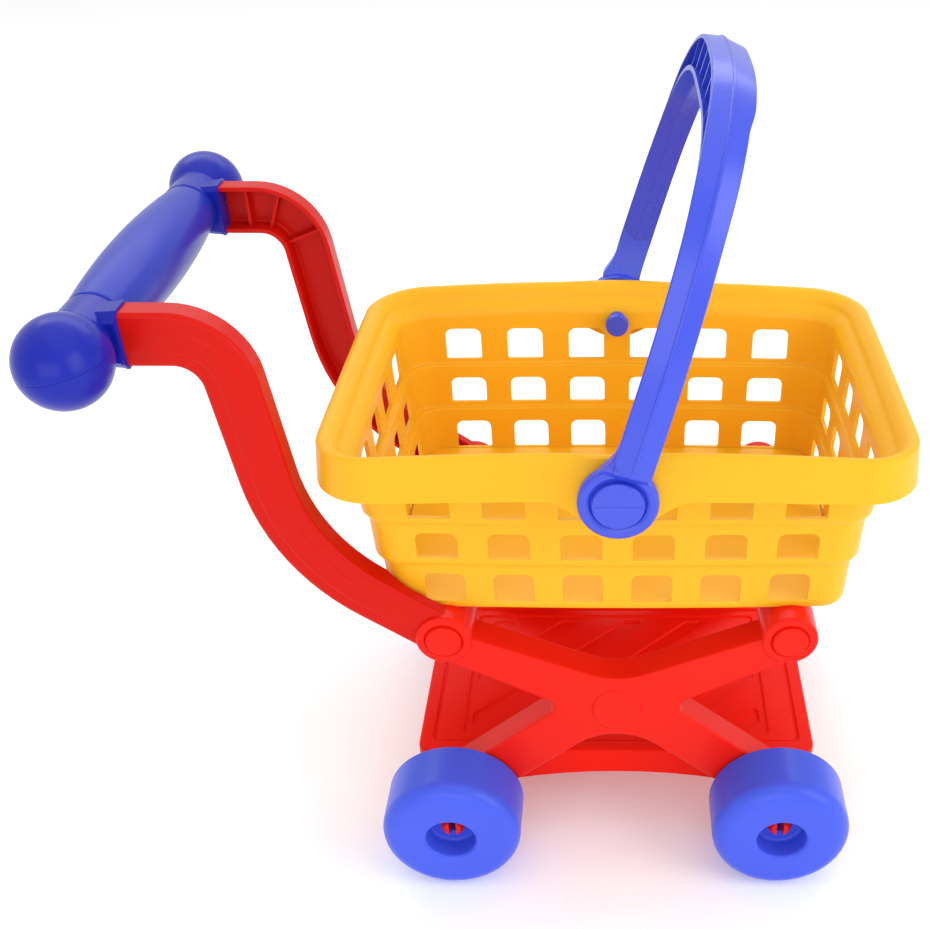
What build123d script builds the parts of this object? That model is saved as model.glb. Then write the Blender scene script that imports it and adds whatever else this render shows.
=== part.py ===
from build123d import *
import math
import os

# Toy shopping cart.  Millimetres, +X is the way it is pushed, +Z is up, the floor is z = 0.
# Every left piece is the mirror of its right piece in the plane y = 0; the right side is -Y.

# ---- wheels -------------------------------------------------------------------------------
WHEEL_R = 38.0
WHEEL_W = 35.5
WHEEL_X = 91.0
WHEEL_OUT_Y = 127.0           # outer face of a wheel
WHEEL_EDGE_R = 7.0            # rounding of the outer edge
WHEEL_SKIN = 3.0
RECESS_R = 13.5               # round pocket in the outer face
RECESS_DEEP = 13.5
HUB_R = 10.0
STUB_R = 6.0                  # stub axle moulded on the side frame
RUN_GAP = 0.08                # radial running clearance

# ---- side frames --------------------------------------------------------------------------
FRAME_OUT_Y = 90.5            # outer face of the X
FRAME_IN_Y = 72.0             # inner edges of its flanges
SKIN = 2.5
BOSS_X = 89.5
BOSS_Z = 151.0
BOSS_R = 14.6
BOSS_OUT_Y = 92.5
BARREL_IN_Y = 58.0
UPPER_W = 25.0                # width of the upper limbs
LOWER_W = 27.0
UPPER_MID_Z = 100.0           # where the upper limbs' centre lines meet
LOWER_MID_Z = 110.5           # where the lower limbs' centre lines meet
TOP_CROTCH_R = 60.0
LOW_CROTCH_R = 34.0
SIDE_CROTCH_R = 5.0
BUTTON_R = 12.7
BUTTON_Z = 103.0
BUTTON_UP = 1.2

# ---- cross bars ---------------------------------------------------------------------------
BAR_R = 9.3
BAR_BORE = 7.3
CAP_OUT_Y = 94.0

# ---- tray ---------------------------------------------------------------------------------
TRAY_X = 115.0                # half length
TRAY_Y = 71.8                 # half width
TRAY_TOP = 54.0
TRAY_SKIN = 2.5
TRAY_LIP = 8.0                # width of the raised lip round the edge
TRAY_LIP_UP = 1.6
WELL_X = 89.0                 # half length of the sunken floor
WELL_Y = 57.0
WELL_DEEP = 2.0
SLOT_W = 10.0
SLOT_STEP = 29.0
SLOT_DEEP = 1.4
PEG_R = 5.0                   # pegs that hold the tray to the side frames
PEG_X = 77.5
PEG_Z = 46.5
PEG_OUT_Y = 86.0
SKIRT_LOW = 30.0              # bottom of the side skirts at their ends
SKIRT_ARCH = 36.5             # bottom of the side skirts in the middle

# ---- push arms ----------------------------------------------------------------------------
ARM_W = 25.0
ARM_OUT_Y = 90.3
ARM_IN_Y = 77.0
ARM_TOP_Z = 316.0             # height of the top run's centre line
ARM_TOP_X = -216.5            # where the arm meets the handle
ARM_BEND_R = 24.5
ARM_BEND_X = -197.1
ARM_STEEP = 82.5              # angle below horizontal of the steep run
ARM_SWEEP_R = 100.0
ARM_SLOPE = 35.0              # angle below horizontal of the lower run
EYE_Y = (87.6, 77.0)          # outer and inner side of the arm's eye

# ---- handle -------------------------------------------------------------------------------
BAR_X = -233.3
BAR_Z = 316.6
BALL_R = 20.1
BALL_HALF = 23.3              # half length of a ball end along the bar
BALL_Y = 111.5
NECK_R = 14.5
NECK_IN_Y = 73.0
GRIP_END_R = 14.2
GRIP_MID_R = 17.7
GRIP_BORE = 12.0
SPIGOT_R = 11.9
SPIGOT_IN_Y = 58.0
SHELL = 2.2
SEAM_TILT = 9.0               # the shells part on a plane tipped this much
SOCKET_FRONT_X = -217.5
SOCKET_H = 30.0
SOCKET_OUT_Y = 93.5
SOCKET_IN_Y = 74.5
TENON = 9.0                   # how far the arm's end goes into its socket

# ---- basket -------------------------------------------------------------------------------
TIER_Z = (222.0, 195.3, 165.8)  # bottoms of the three tiers, top tier first
TIER_X = (128.2, 124.6, 120.6)
TIER_Y = (91.4, 87.4, 83.4)
TIER_TAPER = 3.0              # degrees
TIER_R = (24.0, 23.0, 22.0)
WALL = 2.2
WINDOW_W = 20.6
WINDOW_END = 3.0              # rounding of a window's top corners
WINDOW_STEP = (36.4, 35.7, 35.0)
WINDOW_STEP_END = 31.0
WINDOW_SILL = (2.0, 2.3, 2.7)   # a window's sill above the bottom of its tier
WINDOW_H = (19.0, 15.7, 17.8)
WINDOWS_LONG = 6
WINDOWS_END = 4
RIM_X = 140.0
RIM_Y = 100.0
RIM_TOP = 267.0
RIM_LOW = 243.0
RIM_R = 30.0
RIM_FLARE = 3.0               # how far the rim's lower lip stands out past its top
RIM_LAND = 5.5                # width of the flat top
EAR_HALF = 44.0
EAR_OUT_Y = 107.9
EAR_R = 25.5

# ---- bail ---------------------------------------------------------------------------------
PIVOT_Z = 248.0
LEAN = 16.4                   # the bail stands this far forward of upright
BAIL_HALF_W = 9.0
BAIL_GRIP_W = 9.8
BAIL_GRIP_Z = 136.0           # the strap is wider above this
BAIL_OUT_Y = 124.0
BAIL_IN_Y = 119.5
BAIL_SPRING = 10.0            # height above the pivot where both curves begin
BAIL_OUT_H = 165.2            # rise of the outer curve
BAIL_IN_H = 143.0
BAIL_POWER = (2.75, 3.75)     # superellipse exponents of the outer and inner curves
BAIL_TAPER = 0.05             # the legs lean in by this share for each 100 of height
BAIL_TAPER_Z = 20.0           # height where that begins
STRAP = 3.2
BAIL_WEB_X = 5.5              # back of the web that closes the hollow grip's front
DISC_R = 18.8
DISC_Y = (115.0, 108.4)
PIN_R = 5.0
PIN_HEAD_R = 12.15
PIN_HEAD_Y = (116.8, 115.1)
PIN_IN_Y = 82.0
PIN_BARB_R = 7.0


# The files' origin is on the floor under the middle of the whole cart.
CENTRE_X = (RIM_X + RIM_FLARE + BAR_X - BALL_R) / 2


def save(name, shape):
    os.makedirs("parts", exist_ok=True)
    placed = Pos(-CENTRE_X, 0, 0) * shape
    placed.label = name
    export_step(placed, os.path.join("parts", name + ".step"))


def across(radius, y_from, y_to, x=0.0, z=0.0):
    """A cylinder along Y between two stations."""
    y_low, y_high = sorted((y_from, y_to))
    at = Plane(origin=(x, y_low, z), x_dir=(1, 0, 0), z_dir=(0, 1, 0))
    return extrude(at * Circle(radius), amount=y_high - y_low)


def block(x, y, z):
    """A box between two x, two y and two z values."""
    x, y, z = sorted(x), sorted(y), sorted(z)
    size = (x[1] - x[0], y[1] - y[0], z[1] - z[0])
    return Pos(sum(x) / 2, sum(y) / 2, sum(z) / 2) * Box(*size)


def side_slab(face, y_from, y_to):
    """Extrudes a face drawn in X and Z between two stations along Y."""
    y_low, y_high = sorted((y_from, y_to))
    at = Plane(origin=(0, y_high, 0), x_dir=(1, 0, 0), z_dir=(0, -1, 0))
    return extrude(at * face, amount=y_high - y_low)


def round_box(half_x, half_y, radius, z_low, z_high, taper=0.0):
    """An upright rounded box; its sizes are those of its top, and it narrows downwards."""
    face = Pos(0, 0, z_high) * RectangleRounded(2 * half_x, 2 * half_y, radius)
    return extrude(face, amount=z_low - z_high, dir=(0, 0, 1), taper=taper)


def mirrored(shape):
    return mirror(shape, about=Plane.XZ)


# ---- wheel --------------------------------------------------------------------------------
def wheel(x, side):
    bore = STUB_R + RUN_GAP
    cone = WHEEL_R - WHEEL_EDGE_R
    arc_mid = WHEEL_EDGE_R * math.sqrt(0.5)
    tube = RECESS_R + 2.5
    line = Polyline((bore, RECESS_DEEP), (RECESS_R, RECESS_DEEP), (RECESS_R, 0), (cone, 0))
    edge = ThreePointArc((cone, 0), (cone + arc_mid, WHEEL_EDGE_R - arc_mid), (WHEEL_R, WHEEL_EDGE_R))
    back = Polyline((WHEEL_R, WHEEL_EDGE_R), (WHEEL_R, WHEEL_W - 2), (WHEEL_R - 1.4, WHEEL_W),
                    (WHEEL_R - WHEEL_SKIN, WHEEL_W), (WHEEL_R - WHEEL_SKIN, 4), (tube, 4),
                    (tube, RECESS_DEEP + 3), (HUB_R, RECESS_DEEP + 3), (HUB_R, WHEEL_W),
                    (bore, WHEEL_W), (bore, RECESS_DEEP))
    face = make_face([line.edges(), edge.edges(), back.edges()])
    solid = revolve(Plane.XY * face, axis=Axis.Y)
    solid = Pos(x, -WHEEL_OUT_Y, WHEEL_R) * solid
    return solid if side < 0 else mirrored(solid)


# ---- side frame ---------------------------------------------------------------------------
def limb_edges(mid_z, end_x, end_z, width):
    """Slope and vertical offset of a limb's two edges about its centre line."""
    slope = (end_z - mid_z) / end_x
    return slope, width / 2 * math.hypot(1, slope)


def x_face():
    up, up_off = limb_edges(UPPER_MID_Z, BOSS_X, BOSS_Z, UPPER_W)
    low, low_off = limb_edges(LOWER_MID_Z, WHEEL_X, WHEEL_R, LOWER_W)
    notch_x = (LOWER_MID_Z + low_off - UPPER_MID_Z + up_off) / (up - low)
    notch = (notch_x, UPPER_MID_Z - up_off + up * notch_x)
    up_n = (-up / math.hypot(1, up), 1 / math.hypot(1, up))
    low_n = (-low / math.hypot(1, low), 1 / math.hypot(1, low))
    half = [
        (BOSS_X + up_n[0] * UPPER_W / 2, BOSS_Z + up_n[1] * UPPER_W / 2),
        (BOSS_X - up_n[0] * UPPER_W / 2, BOSS_Z - up_n[1] * UPPER_W / 2),
        notch,
        (WHEEL_X + low_n[0] * LOWER_W / 2, WHEEL_R + low_n[1] * LOWER_W / 2),
        (WHEEL_X - low_n[0] * LOWER_W / 2, WHEEL_R - low_n[1] * LOWER_W / 2),
    ]
    top = (0, UPPER_MID_Z + up_off)
    bottom = (0, LOWER_MID_Z - low_off)
    points = [top] + half + [bottom] + [(-px, pz) for px, pz in reversed(half)]
    face = make_face(Polyline(*points, close=True))
    for centre, radius in ((top, TOP_CROTCH_R), (bottom, LOW_CROTCH_R),
                           (notch, SIDE_CROTCH_R), ((-notch_x, notch[1]), SIDE_CROTCH_R)):
        corner = face.vertices().sort_by_distance((centre[0], centre[1], 0))[0]
        face = fillet(corner, radius)
    for sx in (-1, 1):
        face += Pos(sx * WHEEL_X, WHEEL_R) * Circle(LOWER_W / 2)
    return face


def stub_axle(x):
    """Stub with a split, barbed end that the wheel snaps over."""
    web_y = WHEEL_OUT_Y - RECESS_DEEP
    end_y = web_y + 5.5
    stub = across(STUB_R, -FRAME_OUT_Y, -end_y, x, WHEEL_R)
    barb = Plane(origin=(x, -(web_y + 0.4), WHEEL_R), x_dir=(1, 0, 0), z_dir=(0, -1, 0))
    stub += loft([barb * Circle(STUB_R + 0.9), barb.offset(5.1) * Circle(STUB_R - 0.8)])
    stub -= block((x - 2, x + 2), (-end_y - 1, -end_y + 14), (WHEEL_R - 9, WHEEL_R + 9))
    return stub + across(STUB_R + 4, -(FRAME_OUT_Y + 0.35), -FRAME_IN_Y, x, WHEEL_R)


def side_frame():
    face = x_face()
    solid = side_slab(face, -FRAME_OUT_Y, -FRAME_IN_Y)
    solid -= side_slab(offset(face, -SKIN), -(FRAME_OUT_Y - SKIN), -FRAME_IN_Y + 1)
    for sx in (-1, 1):
        solid += across(BOSS_R, -BOSS_OUT_Y, -BARREL_IN_Y, sx * BOSS_X, BOSS_Z)
    slit_y = (-EYE_Y[0] - 0.2, -EYE_Y[1] + 0.3)
    room = Pos(-BOSS_X, BOSS_Z) * (Circle(BOSS_R + 0.6) + Rot(0, 0, 180 - ARM_SLOPE)
                                   * Pos(20, 0) * Rectangle(40, ARM_W + 1.2))
    solid -= side_slab(room, *slit_y)
    outside = Pos(-BOSS_X, BOSS_Z) * Rot(0, 0, 180 - ARM_SLOPE) * Pos(20, 0) * Rectangle(40, ARM_W + 1.2)
    outside -= Pos(-BOSS_X, BOSS_Z) * Circle(BOSS_R)
    solid -= side_slab(outside, -FRAME_OUT_Y - 1, -FRAME_IN_Y + 1)
    for sx in (-1, 1):
        solid += across(PEG_R + 2.2, -FRAME_OUT_Y + 1, -FRAME_IN_Y, sx * PEG_X, PEG_Z)
        solid += stub_axle(sx * WHEEL_X)
        solid -= across(PEG_R + 0.06, -PEG_OUT_Y - 0.5, -FRAME_IN_Y + 1, sx * PEG_X, PEG_Z)
        solid -= across(BAR_R + 0.06, -BOSS_OUT_Y - 1, -BARREL_IN_Y + 1, sx * BOSS_X, BOSS_Z)
    solid += across(BUTTON_R, -FRAME_OUT_Y - BUTTON_UP, -FRAME_OUT_Y + 1, 0, BUTTON_Z)
    return solid


# ---- cross bars ---------------------------------------------------------------------------
def cross_bar(x):
    return (across(BAR_R, -91, 91, x, BOSS_Z) - across(BAR_BORE, -92, 92, x, BOSS_Z))


def bar_caps():
    caps = []
    for x in (-BOSS_X, BOSS_X):
        cap = across(BAR_R, -CAP_OUT_Y, -91, x, BOSS_Z)
        rim = cap.faces().sort_by(Axis.Y)[0].edges()
        cap = fillet(rim, 1.2) + across(BAR_BORE - 0.05, -91, -82, x, BOSS_Z)
        caps += [cap, mirrored(cap)]
    return Compound(children=caps)


# ---- tray ---------------------------------------------------------------------------------
def tray_slots():
    """Slanting troughs sunk in the tray's floor, cut off square at the well's edges."""
    floor_z = TRAY_TOP - WELL_DEEP
    reach = 2 * WELL_X
    inner = block((-WELL_X + 1, WELL_X - 1), (-WELL_Y + 3, WELL_Y - 3), (floor_z - SLOT_DEEP, floor_z + 5))
    slots = None
    for k in range(-5, 6):
        bar = Pos(k * SLOT_STEP * math.sqrt(2), 0, floor_z) * Rot(0, 0, 45) * Box(reach, SLOT_W, 10)
        piece = bar & inner
        if piece.volume > 1:
            slots = piece if slots is None else slots + piece
    return slots


def tray():
    lip_z = TRAY_TOP
    deck_z = TRAY_TOP - TRAY_LIP_UP
    solid = round_box(TRAY_X, TRAY_Y, 8, SKIRT_LOW, lip_z)
    solid -= round_box(TRAY_X - TRAY_SKIN, TRAY_Y - TRAY_SKIN, 6, SKIRT_LOW - 1, deck_z - 5.5)
    solid -= round_box(TRAY_X - TRAY_LIP, TRAY_Y - TRAY_LIP, 4, deck_z, lip_z + 1)
    solid -= round_box(WELL_X, WELL_Y, 3, TRAY_TOP - WELL_DEEP, lip_z + 1)
    solid -= tray_slots()
    chord = 2 * (TRAY_X - 25)
    rise = SKIRT_ARCH - SKIRT_LOW
    arch_r = (chord * chord / 4 + rise * rise) / (2 * rise)
    solid -= across(arch_r, -TRAY_Y - 1, TRAY_Y + 1, 0, SKIRT_ARCH - arch_r)
    for sx in (-1, 1):
        solid -= block((sx * (TRAY_X - 26), sx * (TRAY_X + 1)), (-TRAY_Y - 1, TRAY_Y + 1), (20, 38))
        for sy in (-1, 1):
            solid += across(PEG_R, sy * (TRAY_Y - 2), sy * PEG_OUT_Y, sx * PEG_X, PEG_Z)
    return solid


# ---- push arms ----------------------------------------------------------------------------
def arm_edges(off):
    """The arm's line at a sideways distance off its centre line, from the handle to the eye."""
    steep = math.radians(ARM_STEEP)
    slope = math.radians(ARM_SLOPE)
    down = (math.cos(steep), -math.sin(steep))
    left = (math.sin(steep), math.cos(steep))
    low = (math.cos(slope), -math.sin(slope))
    low_left = (math.sin(slope), math.cos(slope))
    bend_c = (ARM_BEND_X, ARM_TOP_Z - ARM_BEND_R)
    bend_end = (bend_c[0] + left[0] * ARM_BEND_R, bend_c[1] + left[1] * ARM_BEND_R)
    # distance down the steep run to where its line meets the lower run's line
    dx, dz = -BOSS_X - bend_end[0], BOSS_Z - bend_end[1]
    cross = down[0] * low[1] - down[1] * low[0]
    run = (dx * low[1] - dz * low[0]) / cross
    tangent = ARM_SWEEP_R * math.tan((steep - slope) / 2)
    start2 = (bend_end[0] + down[0] * (run - tangent), bend_end[1] + down[1] * (run - tangent))
    sweep_c = (start2[0] + left[0] * ARM_SWEEP_R, start2[1] + left[1] * ARM_SWEEP_R)

    def on(centre, normal, radius):
        return (centre[0] + normal[0] * radius, centre[1] + normal[1] * radius)

    def halfway(a, b):
        mx, mz = a[0] + b[0], a[1] + b[1]
        size = math.hypot(mx, mz)
        return (mx / size, mz / size)

    bend_r = ARM_BEND_R + off
    sweep_r = ARM_SWEEP_R - off
    a0 = (ARM_TOP_X - TENON, ARM_TOP_Z + off)
    a1 = (ARM_BEND_X, ARM_TOP_Z + off)
    a2 = on(bend_c, left, bend_r)
    a3 = on(sweep_c, left, -sweep_r)
    a4 = on(sweep_c, low_left, -sweep_r)
    a5 = (-BOSS_X + low_left[0] * off, BOSS_Z + low_left[1] * off)
    return [
        Line(a0, a1),
        ThreePointArc(a1, on(bend_c, halfway((0, 1), left), bend_r), a2),
        Line(a2, a3),
        ThreePointArc(a3, on(sweep_c, halfway(left, low_left), -sweep_r), a4),
        Line(a4, a5),
    ]


def arm_face(inset=0.0):
    upper = arm_edges(ARM_W / 2 - inset)
    lower = arm_edges(-ARM_W / 2 + inset)
    ends = [Line(upper[0] @ 0, lower[0] @ 0), Line(upper[-1] @ 1, lower[-1] @ 1)]
    return make_face([line.edge() for line in upper + lower + ends])


def push_arm():
    face = arm_face()
    solid = side_slab(face, -ARM_OUT_Y, -ARM_IN_Y)
    solid -= side_slab(arm_face(SKIN), -(ARM_OUT_Y - SKIN), -ARM_IN_Y + 1)
    # cross ribs inside the channel
    for x, z, turn in ((-211, ARM_TOP_Z, 90), (-186, 305, 45), (-171, 280, -7), (-166, 240, -10),
                       (-150, 206, -34), (-122, 174, -55)):
        solid += Pos(x, -(ARM_OUT_Y + ARM_IN_Y) / 2, z) * Rot(0, turn, 0) * Box(
            ARM_W - 2, ARM_OUT_Y - ARM_IN_Y - 3, 2)
    # tenon narrower than the arm, so that the socket's walls fit round it
    end = block((ARM_TOP_X - TENON - 1, ARM_TOP_X), (-ARM_OUT_Y - 1, -ARM_IN_Y + 1), (290, 340))
    tenon = block((ARM_TOP_X - TENON, ARM_TOP_X + 1), (-ARM_OUT_Y + 1.6, -ARM_IN_Y - 1.6),
                  (ARM_TOP_Z - ARM_W / 2 + 2.4, ARM_TOP_Z + ARM_W / 2 - 2.4))
    solid = solid - end + tenon
    # round the boss the arm is cut back, and a thinner eye goes on round the cross bar
    solid -= across(BOSS_R + 0.5, -ARM_OUT_Y - 1, -ARM_IN_Y + 1, -BOSS_X, BOSS_Z)
    eye = across(BOSS_R, -EYE_Y[0], -EYE_Y[1], -BOSS_X, BOSS_Z)
    link = Pos(-BOSS_X, BOSS_Z) * Rot(0, 0, 180 - ARM_SLOPE) * Pos(10, 0) * Rectangle(20, ARM_W - 2)
    eye += side_slab(link, -EYE_Y[0], -EYE_Y[1])
    solid += eye
    solid -= across(BAR_R + 0.06, -ARM_OUT_Y - 1, -ARM_IN_Y + 1, -BOSS_X, BOSS_Z)
    return solid - basket_outside(1.2)


# ---- handle -------------------------------------------------------------------------------
def ball(side, shrink=0.0):
    """A ball end, longer along the bar than across it."""
    r, half = BALL_R - shrink, BALL_HALF - shrink
    arc = EllipticalCenterArc((0, 0), r, half, start_angle=-90, arc_size=180)
    face = make_face([arc.edge(), Line((0, half), (0, -half)).edge()])
    return Pos(BAR_X, side * BALL_Y, BAR_Z) * revolve(face, axis=Axis.Y)


def handle_end(side):
    """Ball, neck, socket for the arm and spigot for the grip, hollow inside."""
    neck_out = BALL_Y - 10
    solid = ball(side) + across(NECK_R, side * neck_out, side * NECK_IN_Y, BAR_X, BAR_Z)
    solid += across(SPIGOT_R, side * (NECK_IN_Y + 1), side * SPIGOT_IN_Y, BAR_X, BAR_Z)
    socket = block((BAR_X, SOCKET_FRONT_X), (side * SOCKET_OUT_Y, side * SOCKET_IN_Y),
                   (ARM_TOP_Z - SOCKET_H / 2, ARM_TOP_Z + SOCKET_H / 2))
    socket = chamfer(socket.edges().filter_by(Axis.X), 3.5)
    solid += socket
    solid -= ball(side, SHELL)
    solid -= across(NECK_R - SHELL - 2.4, side * (neck_out + 4), side * (SPIGOT_IN_Y - 1), BAR_X, BAR_Z)
    solid -= block((ARM_TOP_X - TENON - 0.4, SOCKET_FRONT_X + 1),
                   (side * (ARM_OUT_Y - 1.5), side * (ARM_IN_Y + 1.5)),
                   (ARM_TOP_Z - ARM_W / 2 + 2.3, ARM_TOP_Z + ARM_W / 2 - 2.3))
    return solid


def handle_halves(whole):
    above = Pos(BAR_X, 0, BAR_Z) * Rot(0, -SEAM_TILT, 0) * Pos(0, 0, 50) * Box(200, 400, 100)
    return whole & above, whole - above


def grip():
    end_y = NECK_IN_Y - 0.1
    bow = ThreePointArc((GRIP_END_R, -end_y), (GRIP_MID_R, 0), (GRIP_END_R, end_y))
    rest = Polyline((GRIP_END_R, end_y), (GRIP_BORE, end_y), (GRIP_BORE, -end_y), (GRIP_END_R, -end_y))
    face = make_face([bow.edges(), rest.edges()])
    return Pos(BAR_X, 0, BAR_Z) * revolve(face, axis=Axis.Y)


# ---- basket -------------------------------------------------------------------------------
def tiers(grow, lift, top):
    """The three stepped tiers as a solid body, grown sideways and lifted."""
    heights = (top - lift,) + TIER_Z[:2]
    solid = None
    for tier in range(3):
        piece = round_box(TIER_X[tier] + grow, TIER_Y[tier] + grow, TIER_R[tier] + grow,
                          TIER_Z[tier] + lift, heights[tier] + lift, TIER_TAPER)
        solid = piece if solid is None else solid + piece
    return solid


def basket_outside(margin=0.0):
    return tiers(margin, 0, RIM_TOP - 6)


def basket_inside():
    return tiers(-WALL, WALL, RIM_TOP + 1)


def rim():
    """Top land, outer skirt that flares, and two steps down on the inside."""
    lip = RIM_TOP - RIM_LOW
    flare = -math.degrees(math.atan(RIM_FLARE / lip))
    outer = round_box(RIM_X, RIM_Y, RIM_R, RIM_LOW, RIM_TOP, flare)
    hollow = round_box(RIM_X - WALL, RIM_Y - WALL, RIM_R - WALL, RIM_LOW - 1, RIM_TOP - WALL, flare)
    step_x = (RIM_X - RIM_LAND - (TIER_X[0] - WALL)) / 2
    first = round_box(RIM_X - RIM_LAND, RIM_Y - RIM_LAND, RIM_R - RIM_LAND, RIM_TOP - 7, RIM_TOP + 1)
    second = round_box(RIM_X - RIM_LAND - step_x, RIM_Y - RIM_LAND - step_x / 2, RIM_R - RIM_LAND - 3,
                       RIM_TOP - 13, RIM_TOP + 1)
    core_a = round_box(RIM_X - RIM_LAND + WALL, RIM_Y - RIM_LAND + WALL, RIM_R - RIM_LAND + WALL,
                       RIM_TOP - 7 - WALL, RIM_TOP)
    core_b = round_box(RIM_X - RIM_LAND - step_x + WALL, RIM_Y - RIM_LAND - step_x / 2 + WALL,
                       RIM_R - RIM_LAND - 3 + WALL, RIM_TOP - 13 - WALL, RIM_TOP)
    return (outer - hollow + (core_a + core_b) & outer) - first - second


def ear():
    """Pad on the middle of a long side that carries the bail's pivot."""
    inner_y = TIER_Y[0] - 1.5
    shift = EAR_OUT_Y - RIM_Y
    bow_r = (EAR_HALF * EAR_HALF + shift * shift) / (2 * shift)
    plan = Pos(0, -EAR_OUT_Y + bow_r) * Circle(bow_r) & Pos(0, -(inner_y + EAR_OUT_Y) / 2) * Rectangle(
        2 * EAR_HALF, EAR_OUT_Y - inner_y)
    pad = extrude(Pos(0, 0, PIVOT_Z - EAR_R - 1) * plan, amount=RIM_TOP - PIVOT_Z + EAR_R + 1)
    outline = Pos(0, (RIM_LOW + RIM_TOP) / 2) * Rectangle(4 * EAR_HALF, RIM_TOP - RIM_LOW)
    outline += Pos(0, PIVOT_Z) * Circle(EAR_R)
    return pad & side_slab(outline, -EAR_OUT_Y - 1, -inner_y + 1)


def windows():
    cuts = []
    for tier in range(3):
        sill = TIER_Z[tier] + WINDOW_SILL[tier]
        top = sill + WINDOW_H[tier]
        hole = Pos(0, (sill + top) / 2) * Rectangle(WINDOW_W, top - sill)
        hole = fillet(hole.vertices().group_by(Axis.Y)[-1], WINDOW_END)
        for k in range(WINDOWS_LONG):
            x = (k - (WINDOWS_LONG - 1) / 2) * WINDOW_STEP[tier]
            for y in (-TIER_Y[tier], TIER_Y[tier]):
                cuts.append(Pos(x, 0, 0) * side_slab(hole, y - 7, y + 7))
        end_hole = Plane.YZ * hole
        for k in range(WINDOWS_END):
            y = (k - (WINDOWS_END - 1) / 2) * WINDOW_STEP_END
            for x in (-TIER_X[tier], TIER_X[tier]):
                cuts.append(Pos(x - 7, y, 0) * extrude(end_hole, amount=14))
    return cuts


def basket():
    right_ear = ear()
    left_ear = mirrored(right_ear)
    shell = basket_outside() + rim() + right_ear + left_ear
    inside = basket_inside()
    shell -= inside
    upper = round_box(RIM_X - RIM_LAND, RIM_Y - RIM_LAND, RIM_R - RIM_LAND, RIM_TOP - 7, RIM_TOP + 1)
    shell -= upper
    bores = [across(PIN_R + 0.05, y * 80, y * (EAR_OUT_Y + 1), 0, PIVOT_Z) for y in (-1, 1)]
    return shell - windows() - bores


# ---- bail ---------------------------------------------------------------------------------
def arch(half, rise, power, steps=10):
    """Half of a superellipse arch, from its springing point at one side to its crown."""
    points = []
    for k in range(steps + 1):
        t = math.pi / 2 * k / steps
        z = BAIL_SPRING + rise * math.sin(t) ** (2 / power)
        lean_in = BAIL_TAPER * max(0.0, z - BAIL_TAPER_Z) / 100
        points.append((half * (1 - lean_in) * math.cos(t) ** (2 / power), z))
    points[-1] = (0.0, BAIL_SPRING + rise)
    return points


def arch_face(half, rise, power):
    """A closed face under an arch that stands on two straight legs."""
    right = arch(half, rise, power)
    left = [(-y, z) for y, z in reversed(right[:-1])]
    curve = Spline(*(right + left), tangents=((0, 1), (0, -1)))
    legs = Polyline((-half, BAIL_SPRING), (-half, 0), (half, 0), (half, BAIL_SPRING))
    return make_face([curve.edge()] + list(legs.edges()))


def bail():
    """Modelled upright with its pivot at the origin, then leant forward and lifted."""
    def slab(face, half_w):
        at = Plane(origin=(-half_w, 0, 0), x_dir=(0, 1, 0), z_dir=(1, 0, 0))
        return extrude(at * face, amount=2 * half_w)

    outer = arch_face(BAIL_OUT_Y, BAIL_OUT_H, BAIL_POWER[0])
    solid = slab(outer, BAIL_HALF_W)
    solid += slab(outer, BAIL_GRIP_W) & block((-20, 20), (-130, 130), (BAIL_GRIP_Z, 200))
    solid -= slab(arch_face(BAIL_IN_Y, BAIL_IN_H, BAIL_POWER[1]), BAIL_GRIP_W + 1)
    gap = slab(arch_face(BAIL_OUT_Y - STRAP, BAIL_OUT_H - STRAP, BAIL_POWER[0]), BAIL_GRIP_W + 1)
    gap -= slab(arch_face(BAIL_IN_Y + STRAP * 0.9, BAIL_IN_H + STRAP, BAIL_POWER[1]), BAIL_GRIP_W + 1)
    gap &= block((-20, BAIL_WEB_X), (-112, 112), (112, 200))
    ribs = None
    for k in range(-3, 4):
        rib = block((-20, 20), (k * 20 - 1.1, k * 20 + 1.1), (60, 200))
        ribs = rib if ribs is None else ribs + rib
    solid -= gap - ribs
    for side in (-1, 1):
        solid -= block((-20, 20), (side * 100, side * 130), (-1, 12))
        solid += across(DISC_R, side * DISC_Y[0], side * DISC_Y[1])
        solid += block((-BAIL_HALF_W, BAIL_HALF_W), (side * DISC_Y[1], side * (BAIL_OUT_Y - 0.2)), (10, 34))
    for side in (-1, 1):
        solid -= across(DISC_R - 0.4, side * (DISC_Y[0] + 0.001), side * 125)
        solid -= across(PIN_R + 0.05, side * 100, side * 125)
        solid -= across(DISC_R + 4, side * (DISC_Y[1] - 0.001), side * 104)
    return Pos(0, 0, PIVOT_Z) * Rot(0, LEAN, 0) * solid


def bail_pin():
    pin = across(PIN_HEAD_R, -PIN_HEAD_Y[0], -PIN_HEAD_Y[1], 0, PIVOT_Z)
    pin = fillet(pin.faces().sort_by(Axis.Y)[0].edges(), 0.8)
    pin += across(PIN_R, -PIN_HEAD_Y[1] - 0.2, -PIN_IN_Y, 0, PIVOT_Z)
    return pin + across(PIN_BARB_R, -PIN_IN_Y - 3, -PIN_IN_Y, 0, PIVOT_Z)


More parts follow.
